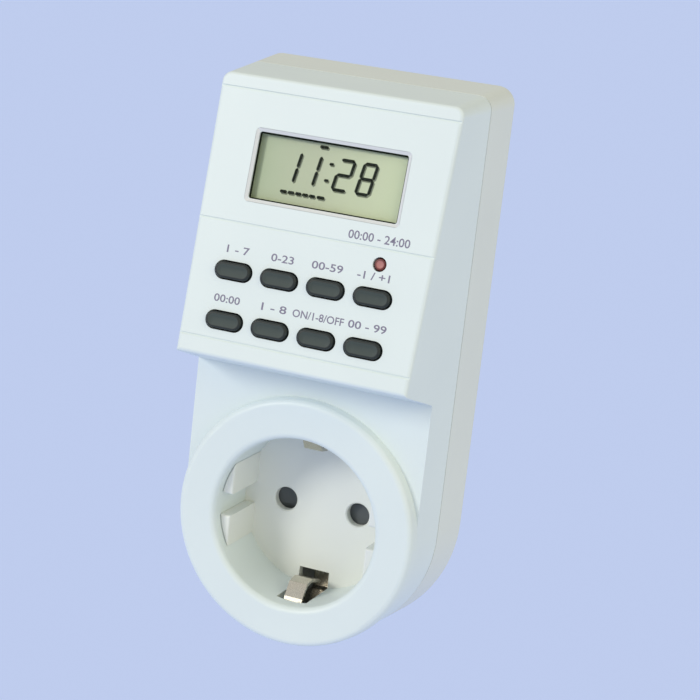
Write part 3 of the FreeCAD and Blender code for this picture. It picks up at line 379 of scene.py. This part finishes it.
for number in range(1, 9):
    nodePaint["key_%d" % number] = "keyDish"


def finish(thing, *paintNames):
    # finishes in slots, the first on every face until faces are given another
    thing.data.materials.clear()
    for paintName in paintNames:
        thing.data.materials.append(paints[paintName].material)


for nodeName, paintName in nodePaint.items():
    for index in range(len(nodes[nodeName].data.materials)):
        nodes[nodeName].data.materials[index] = paints[paintName].material
print("finishes:", len(paints))


# modelling helpers
def clearSelection():
    for thing in bpy.context.selected_objects:
        thing.select_set(False)


def started(name):
    thing = bpy.context.active_object
    thing.name = name
    thing.data.name = name
    return thing


def unpick(thing, mode):
    # back to the mesh with nothing selected, ready to choose edges or faces
    bpy.context.view_layer.objects.active = thing
    bpy.ops.object.mode_set(mode="OBJECT")
    bpy.context.tool_settings.mesh_select_mode = mode
    for group in (thing.data.vertices, thing.data.edges, thing.data.polygons):
        for element in group:
            element.select = False


def pick(thing, test):
    # faces, by centre and normal
    unpick(thing, (False, False, True))
    for face in thing.data.polygons:
        face.select = bool(test(face.center, face.normal))
    bpy.ops.object.mode_set(mode="EDIT")


def pickEdges(thing, test):
    # edges, by their two ends
    unpick(thing, (False, True, False))
    for edge in thing.data.edges:
        edge.select = bool(test(*(thing.data.vertices[i].co for i in edge.vertices)))
    bpy.ops.object.mode_set(mode="EDIT")


def leaveEdit():
    bpy.ops.object.mode_set(mode="OBJECT")


def alone(thing):
    clearSelection()
    thing.select_set(True)
    bpy.context.view_layer.objects.active = thing


def settle(thing, place=None):
    # puts the object's place into its mesh
    alone(thing)
    bpy.ops.object.transform_apply(location=True, rotation=True, scale=True)
    if place is not None:
        thing.data.transform(place)
    return thing


def smooth(thing, degrees=40.0):
    alone(thing)
    bpy.ops.object.shade_smooth_by_angle(angle=math.radians(degrees))


def thicken(thing, amount):
    # a wall behind a sheet
    alone(thing)
    wall = thing.modifiers.new("wall", "SOLIDIFY")
    wall.thickness = amount
    wall.offset = -1.0
    bpy.ops.object.modifier_apply(modifier="wall")


def copyOf(source, name):
    twin = source.copy()
    twin.data = source.data.copy()
    twin.name = name
    twin.data.name = name
    bpy.context.scene.collection.objects.link(twin)
    return twin


def joined(name, things):
    clearSelection()
    for thing in things:
        thing.select_set(True)
    bpy.context.view_layer.objects.active = things[0]
    bpy.ops.object.join()
    return started(name)


def block(name, spot, size):
    # a box at its place, x across, y into the case, z up
    clearSelection()
    bpy.ops.mesh.primitive_cube_add(size=1.0, location=spot)
    piece = started(name)
    piece.scale = size
    return settle(piece)


# the sloping face: x across, y into the case, z up the slope; sizes from here on are in mm
slope = {"topY": -46.8, "topZ": 102.9, "bottomY": -60.0, "bottomZ": 39.1}
tilt = math.atan2(slope["topY"] - slope["bottomY"], slope["topZ"] - slope["bottomZ"])
facePlace = (Matrix.Translation((0.0, slope["topY"] * mm, slope["topZ"] * mm))
             @ Matrix.Rotation(-tilt, 4, "X"))


def faceSpot(x, depth, row):
    # row counts down the slope from its top edge
    return (x * mm, depth * mm, -row * mm)


# display figures: lit strokes just above the reflector, and the shade they throw on it
displayPlan = {
    "top": 15.5, "bottom": 23.1, "stroke": 0.72, "gap": 0.1, "lean": 0.155,
    "depth": 2.015, "thick": 0.012,
    # figure, left edge and width
    "digits": (("1", -10.9, 3.4), ("1", -6.05, 3.4), ("2", 1.45, 4.05), ("8", 7.2, 3.8)),
    "colonX": -0.14, "colonRows": (17.25, 21.05), "colonSize": (1.05, 0.62),
    # centre and length of each bar under the figures
    "underline": ((-10.2, 1.7), (-8.3, 1.6), (-6.5, 1.5), (-4.8, 1.5), (-3.1, 1.5), (-1.0, 1.9)),
    "underlineRow": 25.1, "underlineSize": 0.72,
    "topMark": (-2.3, 13.75, 2.1, 0.72),   # centre, row, length and height
    "shadeDepth": 2.036, "shadeShift": (0.3, 0.3),
}
segmentsLit = {"1": "bc", "2": "abged", "8": "abcdefg"}


def bar(length, width, x, row, upright, ends=0.45):
    # one lit stroke with pointed ends
    plan = displayPlan
    long, wide, thick = length * mm, width * mm, plan["thick"] * mm
    spot = faceSpot(x, plan["depth"], row)
    piece = block("stroke", spot, (wide, thick, long) if upright else (long, thick, wide))
    axis = 2 if upright else 0
    pickEdges(piece, lambda a, b: abs(a.y - b.y) > thick * 0.5
              and min(abs(end[axis] - spot[axis]) for end in (a, b)) > long * 0.4)
    bpy.ops.mesh.bevel(offset=wide * ends, segments=1)
    leaveEdit()
    return piece


def digit(plan, character, left, width):
    # seven strokes, lettered clockwise from the top with g across the middle
    top, bottom, stroke = plan["top"], plan["bottom"], plan["stroke"]
    middle = (top + bottom) / 2
    half = stroke / 2
    tall = (bottom - top - stroke) / 2 - plan["gap"]
    wide = width - stroke - plan["gap"]
    right = left + width
    centre = (left + right) / 2
    spots = {
        "a": (wide, centre, top + half, False),
        "b": (tall, right - half, (top + middle + half) / 2, True),
        "c": (tall, right - half, (middle + bottom - half) / 2, True),
        "d": (wide, centre, bottom - half, False),
        "e": (tall, left + half, (middle + bottom - half) / 2, True),
        "f": (tall, left + half, (top + middle + half) / 2, True),
        "g": (wide, centre, middle, False),
    }
    strokes = []
    for letter in segmentsLit[character]:
        length, x, row, upright = spots[letter]
        strokes.append(bar(length, stroke, x, row, upright))
    return strokes


def leanOver(things, plan):
    # slants the figures, as such displays do
    middle = -(plan["top"] + plan["bottom"]) / 2 * mm
    slant = Matrix.Identity(4)
    slant[0][2] = plan["lean"]
    slant[0][3] = -plan["lean"] * middle
    for thing in things:
        thing.data.transform(slant)


def buildFigures(plan):
    strokes = []
    for character, left, width in plan["digits"]:
        strokes += digit(plan, character, left, width)
    wide, tall = plan["colonSize"]
    for row in plan["colonRows"]:
        strokes.append(bar(wide, tall, plan["colonX"], row, False, 0.25))
    leanOver(strokes, plan)
    for x, width in plan["underline"]:
        strokes.append(bar(width, plan["underlineSize"], x, plan["underlineRow"], False, 0.3))
    x, row, width, tall = plan["topMark"]
    strokes.append(bar(width, tall, x, row, False, 0.3))
    figures = joined("display_figures", strokes)
    shade = copyOf(figures, "figure_shade")
    right, down = plan["shadeShift"]
    drop = plan["shadeDepth"] - plan["depth"]
    shade.data.transform(Matrix.Translation((right * mm, drop * mm, -down * mm)))
    for piece, paintName in ((figures, "displayInk"), (shade, "displayShade")):
        settle(piece, facePlace)
        finish(piece, paintName)
        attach(piece, "case")


buildFigures(displayPlan)
print("display figures cut")


# edge of the display: a dark ring on the window, a painted shadow of the gap round the lens, wider at the
# left and top; sloped lip of the case above it, painted greyer than the face as shade
windowPlan = {
    "centre": (0.4, 20.3), "width": 36.4, "height": 15.4, "room": 0.02,
    # border: painted shadow of the gap round the lens; its shift makes it wider at the left and top
    "border": 0.36, "gapShadowShift": (0.13, 0.07), "borderDepth": 0.77, "borderThick": 0.02,
    "lipWidth": 0.74, "lipDepth": 0.004, "lipDrop": 0.37, "lipThick": 0.02,
}


def sheetRing(name, width, height, depth, rim, shift, drop, thick):
    # a flat sheet cut to a ring: inset, the middle moved, then taken out
    x, row = windowPlan["centre"]
    clearSelection()
    bpy.ops.mesh.primitive_plane_add(size=1.0, location=faceSpot(x, depth, row),
                                     rotation=(math.radians(90.0), 0.0, 0.0))
    ring = started(name)
    ring.scale = (width * mm, height * mm, 1.0)
    settle(ring)
    pick(ring, lambda centre, normal: True)
    bpy.ops.mesh.inset(thickness=rim * mm)
    bpy.ops.transform.translate(value=(shift[0] * mm, drop * mm, -shift[1] * mm))
    bpy.ops.mesh.delete(type="FACE")
    leaveEdit()
    thicken(ring, thick * mm)
    return ring


def buildWindowEdge(plan):
    width, height, room, around = plan["width"], plan["height"], plan["room"], plan["lipWidth"]
    border = sheetRing("window_gap_shadow", width - room, height - room, plan["borderDepth"],
                       plan["border"], plan["gapShadowShift"], 0.0, plan["borderThick"])
    lip = sheetRing("window_lip", width + 2 * around, height + 2 * around, plan["lipDepth"],
                    around - room, (0.0, 0.0), plan["lipDrop"], plan["lipThick"])
    for piece, paintName, slotName in ((border, "displayInk", "display_grey"),
                                       (lip, "windowLipShade", "case_white")):
        settle(piece, facePlace)
        finish(piece, paintName)
        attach(piece, "case")


buildWindowEdge(windowPlan)
print("window edge made")


# keys and reset button: rubber caps with a rounded rim and a shallow dish
keyPlan = {
    "columns": (-17.8, -6.4, 5.0, 16.4), "rows": (45.0, 56.5),
    "length": 8.62, "height": 3.74, "proud": 0.86, "back": 2.4,
    "rimRound": 0.42, "rimFlat": 0.15, "dishSlope": 0.55, "dishDepth": 0.2,
    "lipLength": 10.2, "lipHeight": 5.2, "lipFront": 2.3, "lipBack": 3.3,
    "stemLength": 6.0, "stemHeight": 2.8, "stemBack": 3.8,
}
resetPlan = {
    "spot": (16.6, 37.4),
    "radius": 1.32, "front": 0.3, "back": 2.4,
    "rimRound": 0.16, "rimFlat": 0.26, "dishSlope": 0.12, "dishDepth": 0.16,
    "lipRadius": 2.1, "lipFront": 2.3, "lipBack": 3.3,
    "stemRadius": 0.9, "stemBack": 3.8,
}
pillEnd = {"share": 0.497, "steps": 14, "merge": 0.04}   # share of the height that the ends are rounded by
rootOverlap = 0.1   # how far a stem starts inside its lip
dishSteps = ((1.0, 0.8), (0.6, 0.2))   # each step's share of the slope and of the depth
dishMargin = 0.02   # faces this little outside the dish still count as dish
dishReach = 0.6   # faces further behind the front belong to the rim


def pillBlock(name, length, height, front, back):
    # the ends are rounded to almost half the height, then the edges left over are merged away
    piece = block(name, faceSpot(0.0, (front + back) / 2, 0.0),
                  (length * mm, (back - front) * mm, height * mm))
    pickEdges(piece, lambda a, b: abs(a.y - b.y) > 0.5 * (back - front) * mm)
    bpy.ops.mesh.bevel(offset=height * pillEnd["share"] * mm, segments=pillEnd["steps"])
    bpy.ops.mesh.select_all(action="SELECT")
    bpy.ops.mesh.remove_doubles(threshold=pillEnd["merge"] * mm)
    leaveEdit()
    return piece


def discBlock(name, radius, front, back):
    clearSelection()
    bpy.ops.mesh.primitive_cylinder_add(vertices=48, radius=radius * mm, depth=(back - front) * mm,
                                        location=faceSpot(0.0, (front + back) / 2, 0.0),
                                        rotation=(math.radians(90.0), 0.0, 0.0))
    return settle(started(name))


def dishFront(piece, front, plan):
    # rounds the front edge, then sinks the middle in easy steps
    level = front * mm
    pickEdges(piece, lambda a, b: abs(a.y - level) < 1e-6 and abs(b.y - level) < 1e-6)
    bpy.ops.mesh.bevel(offset=plan["rimRound"] * mm, segments=4)
    pick(piece, lambda centre, normal: normal.y < -0.9999 and abs(centre.y - level) < 1e-6)
    bpy.ops.mesh.inset(thickness=plan["rimFlat"] * mm)
    for slopeShare, depthShare in dishSteps:
        bpy.ops.mesh.inset(thickness=plan["dishSlope"] * slopeShare * mm)
        bpy.ops.transform.translate(value=(0.0, plan["dishDepth"] * depthShare * mm, 0.0))
    leaveEdit()


def paintRimShade(piece, front, straight, radius, plan, dish, rim):
    # the dish takes the first finish, the rim and sides the second, a darker one that is painted shade
    finish(piece, dish, rim)
    dishRadius = radius - plan["rimRound"] - plan["rimFlat"] + dishMargin
    for face in piece.data.polygons:
        x, y, z = face.center / mm
        inDish = math.hypot(max(abs(x) - straight, 0.0), z) < dishRadius and y < front + dishReach
        face.material_index = 0 if inDish else 1


def buildKeys(plan):
    front = -plan["proud"]
    cap = pillBlock("cap", plan["length"], plan["height"], front, plan["back"])
    dishFront(cap, front, plan)
    straight = (plan["length"] - plan["height"]) / 2
    paintRimShade(cap, front, straight, plan["height"] / 2, plan, "keyDish", "keyRimShade")
    lip = pillBlock("lip", plan["lipLength"], plan["lipHeight"], plan["lipFront"], plan["lipBack"])
    stem = pillBlock("stem", plan["stemLength"], plan["stemHeight"],
                     plan["lipBack"] - rootOverlap, plan["stemBack"])
    for piece in (lip, stem):
        finish(piece, "keyRimShade")
    pattern = joined("keyPattern", [cap, lip, stem])
    smooth(pattern)
    number = 0
    for row in plan["rows"]:
        for x in plan["columns"]:
            number += 1
            key = copyOf(pattern, "key_cap_%d" % number)
            key.data.transform(Matrix.Translation(faceSpot(x, 0.0, row)))
            settle(key, facePlace)
            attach(key, "key_%d" % number)
            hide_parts("key_%d" % number)
    bpy.data.objects.remove(pattern)


def buildReset(plan):
    front = plan["front"]
    cap = discBlock("resetCap", plan["radius"], front, plan["back"])
    dishFront(cap, front, plan)
    paintRimShade(cap, front, 0.0, plan["radius"], plan, "resetDish", "resetRimShade")
    lip = discBlock("resetLip", plan["lipRadius"], plan["lipFront"], plan["lipBack"])
    stem = discBlock("resetStem", plan["stemRadius"], plan["lipBack"] - rootOverlap, plan["stemBack"])
    for piece in (lip, stem):
        finish(piece, "resetRimShade")
    button = joined("reset_cap", [cap, lip, stem])
    smooth(button)
    x, row = plan["spot"]
    button.data.transform(Matrix.Translation(faceSpot(x, 0.0, row)))
    settle(button, facePlace)
    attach(button, "reset")
    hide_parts("reset_button")


buildKeys(keyPlan)
buildReset(resetPlan)
print("keys and reset button made")


# printed legends on the face
legendPlan = {
    "lift": 0.012, "thick": 0.01, "boldness": 0.03,
    "sizePerHeight": 1.4,   # type size for capitals 1 high
    # text, centre, row, width and height of the capitals
    "marks": (
        ("1 - 7", -17.9, 40.2, 5.6, 1.75),
        ("0-23", -6.4, 40.3, 5.6, 1.75),
        ("00-59", 4.55, 40.2, 7.6, 1.75),
        ("-1 / +1", 16.0, 40.35, 7.8, 1.75),
        ("00:00", -18.1, 51.6, 6.5, 1.75),
        ("1 - 8", -6.65, 51.6, 6.2, 1.75),
        ("ON/1-8/OFF", 4.55, 51.7, 12.5, 1.75),
        ("00 - 99", 16.5, 51.6, 9.2, 1.75),
        ("00:00 - 24:00", 15.4, 31.95, 14.8, 1.95),
    ),
}


def printMark(text, x, row, width, height, plan):
    # type as a thin mesh, drawn out to its width
    clearSelection()
    bpy.ops.object.text_add(location=(0.0, 0.0, 0.0))
    mark = started("mark")
    mark.data.body = text
    mark.data.align_x = "CENTER"
    mark.data.align_y = "CENTER"
    mark.data.size = height * mm * plan["sizePerHeight"]
    mark.data.extrude = plan["thick"] / 2 * mm
    mark.data.offset = plan["boldness"] * mm
    mark.data.resolution_u = 3
    bpy.ops.object.convert(target="MESH")
    mark = bpy.context.active_object
    mark.scale = (width * mm / mark.dimensions.x, 1.0, 1.0)
    mark.rotation_euler = (math.radians(90.0), 0.0, 0.0)
    mark.location = faceSpot(x, -plan["lift"], row)
    return settle(mark)


def printLegends(plan):
    legends = joined("face_legends", [printMark(*mark, plan) for mark in plan["marks"]])
    settle(legends, facePlace)
    finish(legends, "legend")
    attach(legends, "case")


printLegends(legendPlan)
print("legends printed")


# floor
def layFloor(plan):
    clearSelection()
    level = cadBox[0][2] - plan["drop"]
    bpy.ops.mesh.primitive_plane_add(size=plan["size"], location=(0.0, 0.0, level))
    floor = started("floor")
    paint = Paint("floorPaint", plan["colour"], 0.95, Specular_IOR_Level=0.0, Emission_Strength=1.0)
    paint.feed("Emission Color", (*plan["glow"], 1.0))
    floor.data.materials.append(paint.material)


layFloor(floorPlan)
print("floor laid")
